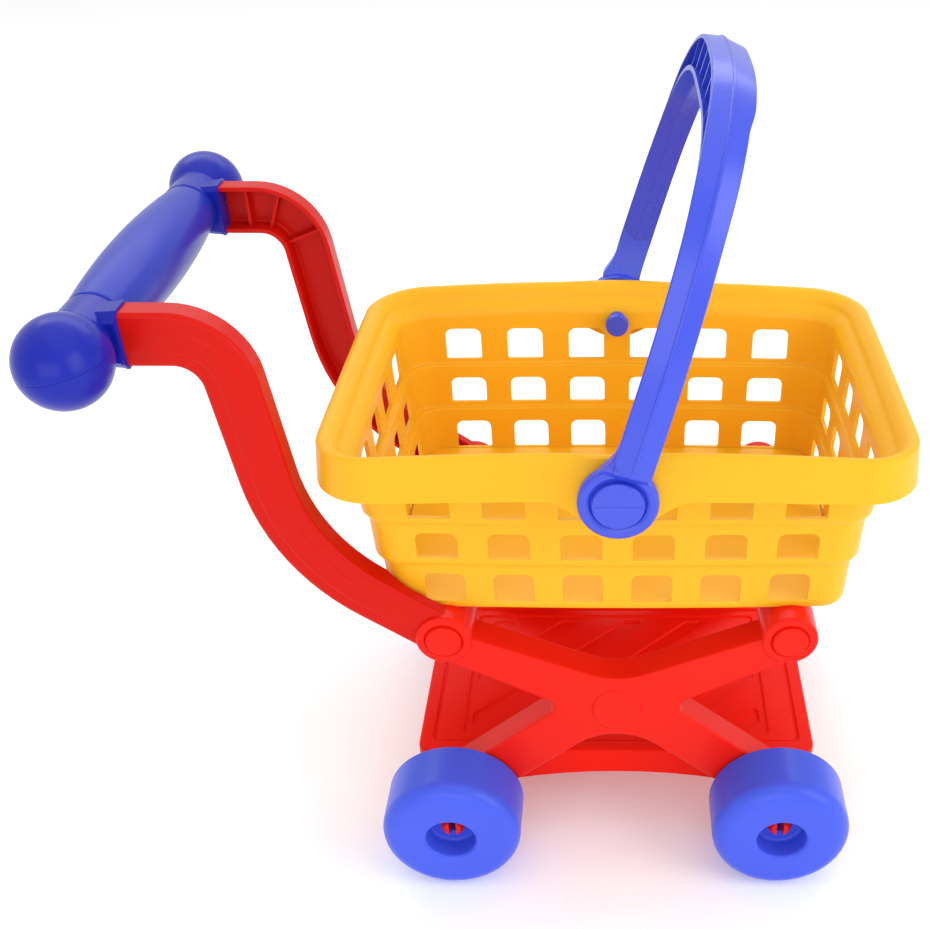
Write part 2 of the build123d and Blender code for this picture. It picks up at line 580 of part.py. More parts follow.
# ---- write every piece --------------------------------------------------------------------
right_frame = side_frame()
save("side_frame_right", right_frame)
save("side_frame_left", mirrored(right_frame))
save("rear_cross_bar", cross_bar(-BOSS_X))
save("front_cross_bar", cross_bar(BOSS_X))
save("cross_bar_caps", bar_caps())
save("lower_tray", tray())
right_arm = push_arm()
save("push_arm_right", right_arm)
save("push_arm_left", mirrored(right_arm))
for place, side in (("right", -1), ("left", 1)):
    upper_half, lower_half = handle_halves(handle_end(side))
    save("handle_end_" + place + "_upper", upper_half)
    save("handle_end_" + place + "_lower", lower_half)
save("handle_grip", grip())
for place, x in (("rear", -WHEEL_X), ("front", WHEEL_X)):
    save("wheel_" + place + "_right", wheel(x, -1))
    save("wheel_" + place + "_left", wheel(x, 1))
save("basket", basket())
save("bail", bail())
right_pin = bail_pin()
save("bail_pin_right", right_pin)
save("bail_pin_left", mirrored(right_pin))
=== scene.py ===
import math

import bmesh
import bpy
from mathutils import Matrix, Vector
from mathutils.geometry import delaunay_2d_cdt


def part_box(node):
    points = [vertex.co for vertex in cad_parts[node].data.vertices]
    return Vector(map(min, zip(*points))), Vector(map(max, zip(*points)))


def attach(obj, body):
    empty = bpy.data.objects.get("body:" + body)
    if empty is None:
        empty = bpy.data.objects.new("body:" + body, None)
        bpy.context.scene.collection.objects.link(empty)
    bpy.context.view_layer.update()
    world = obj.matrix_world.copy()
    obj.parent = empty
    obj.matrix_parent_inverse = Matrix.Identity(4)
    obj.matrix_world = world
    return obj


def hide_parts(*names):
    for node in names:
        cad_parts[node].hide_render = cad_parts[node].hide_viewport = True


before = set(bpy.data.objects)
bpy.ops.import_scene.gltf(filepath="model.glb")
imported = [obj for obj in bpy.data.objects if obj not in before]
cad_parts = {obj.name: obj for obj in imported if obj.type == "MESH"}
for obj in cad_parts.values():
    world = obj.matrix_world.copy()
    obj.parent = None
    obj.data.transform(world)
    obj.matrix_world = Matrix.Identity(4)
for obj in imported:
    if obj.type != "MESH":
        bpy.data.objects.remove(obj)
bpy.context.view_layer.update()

# Shapes are worked out in millimetres about the point on the floor under the basket's middle.
# The right side of the cart is -Y.  Left pieces are mirror images of right ones.
MM = 0.001
AXIS = 0.01                            # the radius at which turned profiles meet their axis


def measure(node, axis):
    """Low end, middle, high end and half size of a CAD node along an axis, in millimetres."""
    low, high = [corner[axis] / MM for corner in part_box(node)]
    return low, (low + high) / 2, high, (high - low) / 2


_, MIDDLE, _, RIM_HALF_X = measure("basket", 0)
MIDDLE_X = MIDDLE * MM
WHEEL_X = measure("wheel_front_right", 0)[1] - MIDDLE
WHEEL_FACE_Y, WHEEL_BACK_Y = measure("wheel_front_right", 1)[::2]
WHEEL_R = measure("wheel_front_right", 2)[3]
BAR_X = measure("handle_grip", 0)[1] - MIDDLE
GRIP_Y = measure("handle_grip", 1)[2]
_, BAR_Z, _, GRIP_R = measure("handle_grip", 2)
PIN_FACE_Y = measure("bail_pin_right", 1)[0]
_, PIVOT_Z, _, PIN_HEAD_R = measure("bail_pin_right", 2)
BOSS_X = measure("front_cross_bar", 0)[1] - MIDDLE
_, BOSS_Z, _, CAP_R = measure("front_cross_bar", 2)
CAP_FACE_Y = measure("cross_bar_caps", 1)[0]
TRAY_X = measure("lower_tray", 0)[3]
TRAY_TOP = measure("lower_tray", 2)[2]
BOSS_R = 14.6


def placed(name, data):
    """An object at the origin, in the scene."""
    made = bpy.data.objects.new(name, data)
    bpy.context.collection.objects.link(made)
    return made


# ---- camera -------------------------------------------------------------------------------
def place_camera():
    data = bpy.data.cameras.new("camera")
    data.lens = 46.64
    data.sensor_width = 36
    data.shift_x = -0.1627
    data.shift_y = 0.1459
    data.clip_start = 0.01
    camera = placed("camera", data)
    camera.matrix_world = Matrix.Translation((MIDDLE_X - 0.00288, -0.57682, 0.54004))
    for degrees, axis in ((-0.24, "Z"), (90 - 36.79, "X"), (0.25, "Z")):
        camera.matrix_world @= Matrix.Rotation(math.radians(degrees), 4, axis)
    bpy.context.scene.camera = camera


place_camera()


# ---- node wiring --------------------------------------------------------------------------
class Wire:
    """A number carried between nodes; arithmetic on it adds Math nodes."""

    def __init__(self, wiring, socket):
        self.wiring, self.socket = wiring, socket

    def maths(self, operation, other=0.0, reflected=False):
        terms = (other, self) if reflected else (self, other)
        node = self.wiring.node("ShaderNodeMath", {"operation": operation}, dict(enumerate(terms)))
        return Wire(self.wiring, node.outputs[0])

    def __add__(self, other):
        return self.maths("ADD", other)

    def __mul__(self, other):
        return self.maths("MULTIPLY", other)

    def __sub__(self, other):
        return self.maths("SUBTRACT", other)

    def __rsub__(self, other):
        return self.maths("SUBTRACT", other, True)

    def __truediv__(self, other):
        return self.maths("DIVIDE", other)

    __radd__ = __add__
    __rmul__ = __mul__


class Wiring:
    """A node tree, with one way of adding nodes to it."""

    def __init__(self, tree):
        self.tree = tree

    def feed(self, value, socket):
        if isinstance(value, Wire):
            value = value.socket
        if isinstance(value, bpy.types.NodeSocket):
            self.tree.links.new(value, socket)
        else:
            socket.default_value = value

    def node(self, kind, settings=None, inputs=None):
        made = self.tree.nodes.new(kind)
        for key, value in (settings or {}).items():
            setattr(made, key, value)
        for key, value in (inputs or {}).items():
            self.feed(value, made.inputs[key])
        return made


class Finish(Wiring):
    """A material and the nodes that make it."""

    def __init__(self, name):
        self.material = bpy.data.materials.new(name)
        self.material.use_nodes = True
        super().__init__(self.material.node_tree)
        self.shader = self.tree.nodes["Principled BSDF"]

    def set(self, **values):
        """Feeds the shader's own sockets, named in lower case with underscores."""
        for socket in self.shader.inputs:
            key = socket.name.lower().replace(" ", "_")
            if key in values:
                self.feed(values[key], socket)

    def noise(self, scale, detail=2.0, rough=0.5):
        place = self.node("ShaderNodeTexCoord").outputs["Object"]
        made = self.node("ShaderNodeTexNoise", inputs={
            "Vector": place, "Scale": scale, "Detail": detail, "Roughness": rough})
        return Wire(self, made.outputs["Fac"])

    def mix(self, amount, first, second):
        made = self.node("ShaderNodeMix", {"data_type": "RGBA"}, {0: amount, 6: first, 7: second})
        return made.outputs[2]


def shade(red, green, blue):
    """A colour from its everyday 0 to 255 values."""
    def linear(v):
        v /= 255
        return v / 12.92 if v <= 0.04045 else ((v + 0.055) / 1.055) ** 2.4
    return (linear(red), linear(green), linear(blue), 1)


def moulded_plastic(name, body, cloudy, gloss, shine, glow=0.0):
    """Glossy injection-moulded plastic: faint cloudy colour, a little orange peel, uneven gloss."""
    finish = Finish(name)
    clouds = finish.noise(28, 3, 0.6)
    flow = finish.noise(9)
    fine = finish.noise(260)
    ripple = finish.noise(75, 2, 0.4)
    amount = finish.node("ShaderNodeClamp", inputs={0: clouds * 1.1 + flow * 0.6 - 0.35}).outputs[0]
    bump = finish.node("ShaderNodeBump", inputs={"Height": ripple, "Strength": 0.035, "Distance": 0.0012})
    finish.set(base_color=finish.mix(amount, shade(*body), shade(*cloudy)), normal=bump.outputs[0],
               roughness=clouds * 0.12 + fine * 0.03 + (gloss - 0.075), ior=1.49,
               specular_ior_level=shine, coat_weight=shine * 0.15, coat_roughness=0.12)
    if glow:
        finish.set(subsurface_weight=glow, subsurface_radius=(1.0, 0.6, 0.3), subsurface_scale=0.004)
    return finish.material


BASKET_YELLOW = moulded_plastic("basket_yellow", (242, 181, 36), (239, 175, 30), 0.32, 0.16, 0.2)
FRAME_RED = moulded_plastic("frame_red", (232, 30, 13), (228, 25, 10), 0.33, 0.14)
# Painted light: the tray's red is a lighter copy of the frame red, brightened to offset the shadow the
# basket casts on the tray.
TRAY_RED_PAINTED_LIGHT = moulded_plastic("tray_red", (243, 29, 10), (239, 25, 8), 0.34, 0.08)
# Painted shade: the arms' red is a darker copy of the frame red, standing in for shade on the arms' faces.
ARM_RED_PAINTED_SHADE = moulded_plastic("arm_red", (206, 21, 9), (201, 18, 7), 0.30, 0.12)
WHEEL_BLUE = moulded_plastic("wheel_blue", (68, 92, 226), (63, 86, 219), 0.30, 0.25)
BAIL_BLUE = moulded_plastic("bail_blue", (54, 75, 212), (50, 70, 205), 0.28, 0.55)
HANDLE_BLUE = moulded_plastic("handle_blue", (24, 36, 164), (21, 33, 158), 0.28, 0.22)
GRIP_BLUE = moulded_plastic("grip_blue", (38, 55, 178), (34, 50, 172), 0.30, 0.22)


# ---- outlines and solids ------------------------------------------------------------------
def rounded(corners, closed=True, turn=15):
    """Points of a line whose corners, each (a, b, radius), are rounded by arcs."""
    points = []
    last = len(corners) - 1
    for i, (a, b, radius) in enumerate(corners):
        if radius <= 0 or (not closed and i in (0, last)):
            points.append((a, b))
            continue
        here = Vector((a, b))
        back = Vector(corners[i - 1][:2]) - here
        ahead = Vector(corners[(i + 1) % len(corners)][:2]) - here
        half = back.angle(ahead) / 2
        reach = min(radius / math.tan(half), back.length * 0.4995, ahead.length * 0.4995)
        radius = reach * math.tan(half)
        back.normalize()
        ahead.normalize()
        centre = here + (back + ahead).normalized() * (radius / math.sin(half))
        start = here + back * reach - centre
        stop = here + ahead * reach - centre
        angle = math.atan2(start.y, start.x)
        sweep = (math.atan2(stop.y, stop.x) - angle + math.pi) % (2 * math.pi) - math.pi
        steps = max(2, math.ceil(abs(math.degrees(sweep)) / turn))
        for k in range(steps + 1):
            t = angle + sweep * k / steps
            points.append((centre.x + radius * math.cos(t), centre.y + radius * math.sin(t)))
    return points


def inset(loop, amount):
    """A closed anticlockwise outline moved inwards."""
    moved = []
    count = len(loop)
    for i, (a, b) in enumerate(loop):
        pa, pb = loop[i - 1]
        na, nb = loop[(i + 1) % count]
        e1 = Vector((a - pa, b - pb)).normalized()
        e2 = Vector((na - a, nb - b)).normalized()
        n1, n2 = Vector((-e1.y, e1.x)), Vector((-e2.y, e2.x))
        push = (n1 + n2) / max(0.3, 1 + n1.dot(n2)) * amount
        moved.append((a + push.x, b + push.y))
    return moved


def finer(loop, longest):
    """The same closed outline with its long straight runs cut in shorter ones."""
    points = []
    for i, (a, b) in enumerate(loop):
        na, nb = loop[(i + 1) % len(loop)]
        cuts = max(1, math.ceil(math.hypot(na - a, nb - b) / longest))
        points += [(a + (na - a) * k / cuts, b + (nb - b) * k / cuts) for k in range(cuts)]
    return points


SHARP = 34                             # degrees from which an edge stays sharp


def smooth(mesh, sharp=SHARP):
    mesh.shade_smooth()
    mesh.set_sharp_from_angle(angle=math.radians(sharp))


def rework(mesh, *changes):
    """Opens a mesh for editing, runs the changes on it and writes it back."""
    work = bmesh.new()
    work.from_mesh(mesh)
    for change in changes:
        change(work)
    work.to_mesh(mesh)
    work.free()


def outwards(work):
    bmesh.ops.recalc_face_normals(work, faces=work.faces)


def applied(piece):
    """Gives an object the plain mesh that its modifiers make."""
    deps = bpy.context.evaluated_depsgraph_get()
    mesh = bpy.data.meshes.new_from_object(piece.evaluated_get(deps))
    piece.modifiers.clear()
    piece.data = mesh
    return piece


class Solid:
    """Closed shells in millimetres that end up as one piece of the cart."""

    def __init__(self):
        self.points, self.faces = [], []

    def skin(self, rings, endless=False):
        """Skins a stack of closed rings of equally many points and closes its two ends."""
        first, count = len(self.points), len(rings[0])
        for ring in rings:
            self.points += [tuple(point) for point in ring]
        for i in range(len(rings) if endless else len(rings) - 1):
            a, b = first + i * count, first + (i + 1) % len(rings) * count
            for k in range(count):
                j = (k + 1) % count
                self.faces.append((a + k, a + j, b + j, b + k))
        if not endless:
            self.faces.append(tuple(first + k for k in reversed(range(count))))
            self.faces.append(tuple(first + (len(rings) - 1) * count + k for k in range(count)))
        return self

    def turned(self, profile, x, z, endless=True, count=96):
        """A solid of revolution about a line along Y; the profile is a list of (radius, y)."""
        angles = [2 * math.pi * k / count for k in range(count)]
        return self.skin([[(x + r * math.cos(t), y, z + r * math.sin(t)) for t in angles]
                          for r, y in profile], endless)

    def pad(self, outline, levels, lay):
        """A plate skinned from (inset, height) levels of an outline; lay puts (a, b, height) in space."""
        self.skin([[lay(a, b, height) for a, b in inset(outline, amount)] for amount, height in levels])
        del self.faces[-2:]
        for amount, height in (levels[0], levels[-1]):
            self.add(floor_between([inset(outline, amount)], lambda a, b: lay(a, b, height)))
        return self

    def mirrored(self):
        twin = Solid()
        twin.points = [(x, -y, z) for x, y, z in self.points]
        twin.faces = list(self.faces)
        return twin

    def add(self, other):
        start = len(self.points)
        self.points += other.points
        self.faces += [tuple(start + k for k in face) for face in other.faces]
        return self

    def moved(self, change):
        self.points = [change(point) for point in self.points]
        return self

    def build(self, name, material, sharp=SHARP):
        """One smooth-shaded object, its faces pointing outwards."""
        mesh = bpy.data.meshes.new(name)
        mesh.from_pydata([(MIDDLE_X + x * MM, y * MM, z * MM) for x, y, z in self.points], [], self.faces)

        def close(work):
            bmesh.ops.remove_doubles(work, verts=work.verts, dist=1e-6)
            bmesh.ops.dissolve_degenerate(work, edges=work.edges, dist=1e-7)

        rework(mesh, close, outwards)
        mesh.materials.append(material)
        smooth(mesh, sharp)
        return placed(name, mesh)


def inside(loop, x, y):
    """Whether a point is inside a closed outline."""
    hit = False
    for (ax, ay), (bx, by) in zip(loop, loop[1:] + loop[:1]):
        if (ay > y) != (by > y) and x < ax + (bx - ax) * (y - ay) / (by - ay):
            hit = not hit
    return hit


def floor_between(loops, lay):
    """Triangles inside the first outline and outside the others; lay puts (a, b) in space."""
    points, edges = [], []
    for loop in loops:
        start = len(points)
        points += [Vector(point) for point in loop]
        edges += [(start + k, start + (k + 1) % len(loop)) for k in range(len(loop))]
    flat, _, triangles, _, _, _ = delaunay_2d_cdt(points, edges, [], 0, 1e-6)
    floor = Solid()
    floor.points = [lay(v.x, v.y) for v in flat]
    for face in triangles:
        x, y = sum(flat[k].x for k in face) / 3, sum(flat[k].y for k in face) / 3
        if inside(loops[0], x, y) and not any(inside(loop, x, y) for loop in loops[1:]):
            floor.faces.append(tuple(face))
    return floor


def settle(piece, nodes, body):
    """The piece stands for these nodes and moves with their body.

    Its large faces first keep their own shading, so that the small rounded edges take up the turn.
    """
    tool = piece.modifiers.new("crisp", "WEIGHTED_NORMAL")
    tool.mode = "FACE_AREA"
    tool.keep_sharp = True
    applied(piece).data.name = piece.name
    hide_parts(*nodes)
    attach(piece, body)


def settle_pair(right, name, material, body, sharp=SHARP, finish=None):
    """Settles a right-hand piece and its mirror image; {} in the body's name stands for the side."""
    for side, solid in (("right", right), ("left", right.mirrored())):
        made = solid.build(name + "_" + side + "_moulding", material, sharp)
        if finish:
            finish(made)
        settle(made, [name + "_" + side], body.format(side))


def heading(angle):
    """The direction down a slope, and the one square to it on its upper side, as (x, z)."""
    return Vector((math.cos(angle), -math.sin(angle))), Vector((math.sin(angle), math.cos(angle)))


def upright(y):
    """Lays an outline of x and z at a station y."""
    return lambda a, b, h: (a, y + h, b)


# ---- wheels -------------------------------------------------------------------------------
def wheel_profile():
    """Section of (radius, y): bore, recessed hub, outer face, tread, hollow back."""
    face, back = WHEEL_FACE_Y, WHEEL_BACK_Y
    web = face + 13.5
    return rounded([
        (6.1, web, 0.4), (13.5, web, 2.0), (13.5, face + 0.2, 2.4), (20, face, 4),
        (WHEEL_R, face + 0.1, 9.5), (WHEEL_R, back, 1.4), (WHEEL_R - 3.2, back, 1.2),
        (WHEEL_R - 3.6, face + 9, 7), (23, face + 4, 3),
        (16.4, face + 3.2, 1.5), (16.0, web + 3, 1.5), (10, web + 3, 1.5), (10, back - 0.4, 0.8),
        (6.1, back - 0.4, 0.5)], turn=9)


def make_wheels():
    profile = wheel_profile()
    for place, x in (("rear", -WHEEL_X), ("front", WHEEL_X)):
        right = Solid().turned(profile, x, WHEEL_R, count=120)
        settle_pair(right, "wheel_" + place, WHEEL_BLUE, place + "_{}_wheel", 50)


make_wheels()


# ---- side frames --------------------------------------------------------------------------
FRAME_OUT_Y, FRAME_IN_Y = 90.5, 72.0


def x_outline():
    """The crossed limbs, each half narrowing towards its upper boss."""
    def upper_top(x): return 120.6 + 0.42 * x
    def upper_low(x): return 88.9 + 0.52 * x
    along, across = heading(math.atan(0.797))
    end = Vector((WHEEL_X, WHEEL_R)) + along * 13.5
    notch_x = (127.8 - 88.9) / (0.52 + 0.797)
    half = [
        (97, upper_top(97) - 2, 9), (98, upper_low(98), 9), (notch_x, upper_low(notch_x), 5.5),
        (*(end + across * 13.5), 12.6), (*(end - across * 13.5), 12.6)]
    left = [(-a, b, r) for a, b, r in half]
    corners = [(0, 93.2, 34)] + half[::-1] + [(0, 120.6, 40)] + left
    return finer(rounded(corners, turn=8), 12)


def stub(x):
    """Split, barbed stub end that holds the wheel: two half-round prongs."""
    solid = Solid()
    solid.turned(rounded([
        (AXIS, -FRAME_IN_Y - 1, 0), (10, -FRAME_IN_Y - 1, 1), (10, -90.85, 0.4), (6, -90.9, 0.4),
        (6, -106, 0.5), (AXIS, -106, 0)], False), x, WHEEL_R, False, 48)
    half_gap = 2.0
    barb = ((-104, 5.9), (-113.6, 5.95), (-114.0, 6.7), (-114.8, 6.75), (-117.3, 5.6), (-118.2, 4.6))
    for way in (-1, 1):
        rings = []
        for y, r in barb:
            arc = [math.radians(60 - 12 * k) for k in range(11)]
            shape = [(half_gap, r)] + [(r * math.cos(t), r * math.sin(t)) for t in arc] + [(half_gap, -r)]
            shape = [(max(a, half_gap), b if a > half_gap else b * 0.93) for a, b in shape]
            rings.append([(x + way * a, y, WHEEL_R + b) for a, b in shape])
        solid.skin(rings)
    return solid


def make_side_frames():
    # the outer face with its rounded edge, the outer sides, the lip, and the bottom of the channel
    levels = [(2.6, 0), (1.5, 0.05), (0.7, 0.3), (0.2, 0.8), (0, 1.6), (0, 17.3), (0.25, 18.1), (0.9, 18.5),
              (1.7, 18.5), (2.3, 18.2), (2.5, 17.5), (2.6, 4.0), (3.2, 2.8), (4.2, 2.5)]
    right = Solid().pad(x_outline(), levels, upright(-FRAME_OUT_Y))
    barrel = rounded([
        (AXIS, -58.2, 0), (9.5, -58.2, 0.4), (9.6, -58.1, 0.4), (BOSS_R, -58, 1.5), (BOSS_R, -92.5, 1.7),
        (CAP_R + 1.1, -92.5, 0.5), (CAP_R + 0.15, -91.6, 0.3), (AXIS, -91.5, 0)], False, 12)
    for side in (-1, 1):
        right.turned(barrel, side * BOSS_X, BOSS_Z, False)
    for side in (-1, 1):
        right.add(stub(side * WHEEL_X))
    button = rounded([
        (AXIS, -89.2, 0), (14.2, -89.2, 0.1), (14.2, -90.5, 0.1), (13.3, -90.75, 0.8), (12.7, -91.7, 0.9),
        (11.6, -91.75, 0.5), (AXIS, -91.7, 0)], False)
    right.turned(button, 0, 103, False)
    settle_pair(right, "side_frame", FRAME_RED, "cart")


make_side_frames()


def make_caps():
    solid = Solid()
    line = rounded([(AXIS, -84, 0), (CAP_R, -84, 0), (CAP_R, CAP_FACE_Y, 1.3), (AXIS, CAP_FACE_Y + 0.25, 0)],
                   False)
    for side in (-1, 1):
        solid.turned(line, side * BOSS_X, BOSS_Z, False, 72)
    solid.add(solid.mirrored())
    settle(solid.build("cross_bar_cap_mouldings", FRAME_RED), ["cross_bar_caps"], "cart")


make_caps()
for bar in ("rear_cross_bar", "front_cross_bar"):
    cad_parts[bar].data.materials.clear()
    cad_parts[bar].data.materials.append(FRAME_RED)


# ---- lower tray ---------------------------------------------------------------------------
TRAY_Y = 71.8
WELL_X, WELL_Y = 89.0, 56.5            # half sizes of the sunken floor
SLOT_PITCH, SLOT_WIDTH = 41, 14        # measured along the tray; the slots slant at 45 degrees
PEG_X, PEG_Y, PEG_Z = 77.5, 77.5, 46.5   # middle of a peg that goes in the frames
PEG_R, PEG_LONG = 5.0, 17.0


def box_outline(half_x, half_y, radius, turn=12):
    return rounded([(-half_x, -half_y, radius), (half_x, -half_y, radius), (half_x, half_y, radius),
                    (-half_x, half_y, radius)], turn=turn)


def clip(shape, keep):
    """The part of a polygon where keep(point) is positive."""
    kept = []
    for i, here in enumerate(shape):
        there = shape[(i + 1) % len(shape)]
        a, b = keep(here), keep(there)
        if a > 0:
            kept.append(here)
        if a * b < 0:
            t = a / (a - b)
            kept.append((here[0] + (there[0] - here[0]) * t, here[1] + (there[1] - here[1]) * t))
    return kept


def slot_outlines():
    """Slanting slots across the tray's floor, cut off along its sides."""
    half_x, half_y = WELL_X - 3.6, WELL_Y - 3.6
    far, smallest = 200, 60
    slots = []
    for k in range(-3, 4):
        high = 7 + SLOT_PITCH * k
        low = high - SLOT_WIDTH
        strip = [(-far, -far + low), (far, far + low), (far, far + high), (-far, -far + high)]
        for side in (1, -1):
            strip = clip(strip, lambda p: half_x - side * p[0])
            strip = clip(strip, lambda p: half_y - side * p[1])
        area = abs(sum(p[0] * q[1] - q[0] * p[1] for p, q in zip(strip, strip[1:] + strip[:1]))) / 2
        if area > smallest:
            slots.append(rounded([(a, b, 2.0) for a, b in strip], turn=30))
    return slots


def skirt_low(x):
    """Lower edge of the tray's side, which arches up in the middle."""
    return 36.6 - 8.0 * min(1.0, abs(x) / 70) ** 2


def tray_ring(half_x, half_y, radius, height):
    """A rounded rectangle with its long sides cut in short runs; the height is a number or a rule of x."""
    corners = box_outline(half_x, half_y, radius)
    points = []
    for i, (a, b) in enumerate(corners):
        na, nb = corners[(i + 1) % len(corners)]
        cuts = 14 if math.hypot(na - a, nb - b) > 60 else 1
        for k in range(cuts):
            x, y = a + (na - a) * k / cuts, b + (nb - b) * k / cuts
            points.append((x, y, height(x) if callable(height) else height))
    return points


def make_tray():
    top, well = TRAY_TOP, TRAY_TOP - 2.0
    # (in from the ends, in from the sides, corner radius, height): skirt, rolled rim, groove, ledge
    steps = (
        (2.5, 2.5, 5, top - 5.2), (2.5, 2.5, 5, lambda x: skirt_low(x) + 0.6), (1.9, 1.9, 5.6, skirt_low),
        (0.6, 0.6, 7, skirt_low), (0, 0, 8, lambda x: skirt_low(x) + 0.7), (0, 0, 8, top - 1.8),
        (0.3, 0.3, 7.7, top - 0.7), (1.0, 1.0, 7, top - 0.1), (1.9, 1.9, 6, top), (7.4, 7.4, 4, top),
        (8.0, 8.0, 3.6, top - 0.3), (8.3, 8.3, 3.4, top - 1.3), (9.3, 9.0, 3.0, top - 1.4),
        (9.8, 9.3, 3, top - 0.9), (10.6, 9.9, 3, top - 0.8))
    rings = [tray_ring(TRAY_X - end, TRAY_Y - side, radius, z) for end, side, radius, z in steps]
    rings += [tray_ring(WELL_X + end, WELL_Y + side, radius, z) for end, side, radius, z in (
        (1.6, 1.2, 3, top - 0.8), (0.9, 0.7, 2.6, top - 1.0), (0, 0, 2.2, well))]
    solid = Solid().skin(rings)
    solid.faces.pop()
    loops = [[(a, b) for a, b, _ in rings[-1]]]
    slot_steps = ((-0.6, 0), (-0.25, 0.1), (0, 0.5), (0.15, 1.0), (0.5, 1.35), (1.0, 1.4))
    for outline in slot_outlines():
        stack = [[(a, b, well - depth) for a, b in inset(outline, amount)] for amount, depth in slot_steps]
        loops.append([(a, b) for a, b, _ in stack[0]])
        hollow = Solid().skin(stack)
        hollow.faces.pop(-2)
        solid.add(hollow)
    solid.add(floor_between(loops, lambda a, b: (a, b, well)))
    made = solid.build("lower_tray_moulding", TRAY_RED_PAINTED_LIGHT)

    def add_pegs(work):
        for x in (-PEG_X, PEG_X):
            for y in (-PEG_Y, PEG_Y):
                lie = Matrix.Translation((MIDDLE_X + x * MM, y * MM, PEG_Z * MM)) @ Matrix.Rotation(
                    math.pi / 2, 4, "X")
                bmesh.ops.create_cone(work, cap_ends=True, segments=32, radius1=PEG_R * MM,
                                      radius2=PEG_R * MM, depth=PEG_LONG * MM, matrix=lie)

    rework(made.data, add_pegs, outwards)
    smooth(made.data)
    settle(made, ["lower_tray"], "cart")


make_tray()


# ---- shared sizes of the basket ------------------------------------------------------------
WALL = 2.2
TIER_TOPS = (250.0, 222.0, 195.3)      # the wall's three steps, from the top one down
TIER_HALF_X = (128.2, 124.6, 120.6)
TIER_HALF_Y = (89.4, 85.4, 81.4)
TIER_PITCH = (36.4, 35.7, 35.0)        # from window to window along the sides
TIER_BOW = 2.0
TAPER = 0.052
LONG_CELLS, END_CELLS = 6, 4           # windows along a side and along an end


def corner_radius(tier):
    """The corners of a step start where its last windows end."""
    return TIER_HALF_X[tier] - LONG_CELLS / 2 * TIER_PITCH[tier]


def joined(first, second, operation="UNION"):
    """Boolean of two closed objects, as a new plain mesh in the first."""
    tool = first.modifiers.new("join", "BOOLEAN")
    tool.operation = operation
    tool.solver = "EXACT"
    tool.use_self = True
    tool.object = second
    applied(first)
    bpy.data.objects.remove(second)
    return first


def basket_block(margin):
    """The room that the two lower steps of the basket take up, with a margin round it."""
    rings = []
    for tier, low, high in ((1, 195.0, 222.5), (2, 163.0, 196.0)):
        for z in (high, low):
            shrink = (TIER_TOPS[tier] - z) * TAPER - margin
            outline = box_outline(TIER_HALF_X[tier] - shrink, TIER_HALF_Y[tier] + TIER_BOW * 0.4 - shrink,
                                  corner_radius(tier) + 2)
            rings.append([(a, b, z) for a, b in outline])
    return Solid().skin(rings)


# ---- push arms ----------------------------------------------------------------------------
ARM_HALF = 12.6
ARM_OUT_Y, ARM_IN_Y = 90.3, 77.0
RIB_STATIONS = (3, 7, 14, 27)          # stations of the arm's line that have a rib across the channel


def arm_line():
    """Stations (x, z, normal x, normal z) along the arm, from the handle to the rear boss."""
    steep, slope = math.radians(82.5), math.radians(35)
    bend_r, sweep_r = 24.5, 100.0
    bend = Vector((-197.1, BAR_Z - 0.6 - bend_r))
    (down_a, left_a), (down_b, left_b) = heading(steep), heading(slope)
    leave = bend + left_a * bend_r
    gap = Vector((-BOSS_X, BOSS_Z)) - leave
    run = (gap.x * down_b.y - gap.y * down_b.x) / (down_a.x * down_b.y - down_a.y * down_b.x)
    start = leave + down_a * (run - sweep_r * math.tan((steep - slope) / 2))
    centre = start + left_a * sweep_r
    stations = [(x, bend.y + bend_r, 0.0, 1.0) for x in (-222.0, -216.0, -210.0, -203.0)]

    def turn(middle, radius, first, last):
        for k in range(13):
            normal = heading(first + (last - first) * k / 12)[1]
            stations.append((*(middle + normal * radius), *normal))

    turn(bend, bend_r, 0, steep)
    stations += [(*leave.lerp(start, k / 5), *left_a) for k in range(1, 5)]
    turn(centre, -sweep_r, steep, slope)
    last, boss = centre - left_b * sweep_r, Vector((-BOSS_X, BOSS_Z))
    stations += [(*last.lerp(boss, k / 5), *left_b) for k in range(1, 6)]
    return stations


def arm_section(band):
    """The channel's section as (across, y); band is how far the middle strip stands out."""
    h, out, back = ARM_HALF, -ARM_OUT_Y, -ARM_IN_Y
    strip = [(-5.6, out, 1), (-4.9, out - band, 1), (4.4, out - band, 1), (5.1, out, 1)]
    flange = [(h, back, 0.7), (h - 2.5, back, 0.7), (h - 2.7, out + 2.5, 1.6)]
    far_flange = [(-a, y, radius) for a, y, radius in flange[::-1]]
    return rounded([(-h, out, 2.6)] + strip + [(h, out, 2.6)] + flange + far_flange, turn=18)


def make_push_arms():
    stations = arm_line()
    rings = []
    for i, (x, z, nx, nz) in enumerate(stations):
        fade = min(1.0, max(0.0, (i - 4) / 6)) * min(1.0, max(0.0, (len(stations) - 3 - i) / 6))
        rings.append([(x + nx * n, y, z + nz * n) for n, y in arm_section(0.05 + 0.45 * fade)])
    right = Solid().skin(rings)
    reach, web, lip, half_thick = ARM_HALF - 2.3, -ARM_OUT_Y + 2.0, -ARM_IN_Y - 4.5, 0.8
    plate = rounded([(-reach, web, 0), (reach, web, 0), (reach, lip, 0.6), (-reach, lip, 0.6)])
    for k in RIB_STATIONS:
        x, z, nx, nz = stations[k]
        right.skin([[(x + nx * n + nz * along, y, z + nz * n - nx * along) for n, y in plate]
                    for along in (-half_thick, half_thick)])
    eye_r = BOSS_R - 0.1
    eye = rounded([(AXIS, -77.2, 0), (eye_r, -77.2, 0.6), (eye_r, -87.5, 0.6), (AXIS, -87.5, 0)], False)
    right.turned(eye, -BOSS_X, BOSS_Z, False)

    def clear_basket(made):
        joined(made, basket_block(1.4).build("basket_room", ARM_RED_PAINTED_SHADE), "DIFFERENCE")
        smooth(made.data)

    settle_pair(right, "push_arm", ARM_RED_PAINTED_SHADE, "cart", finish=clear_basket)


make_push_arms()


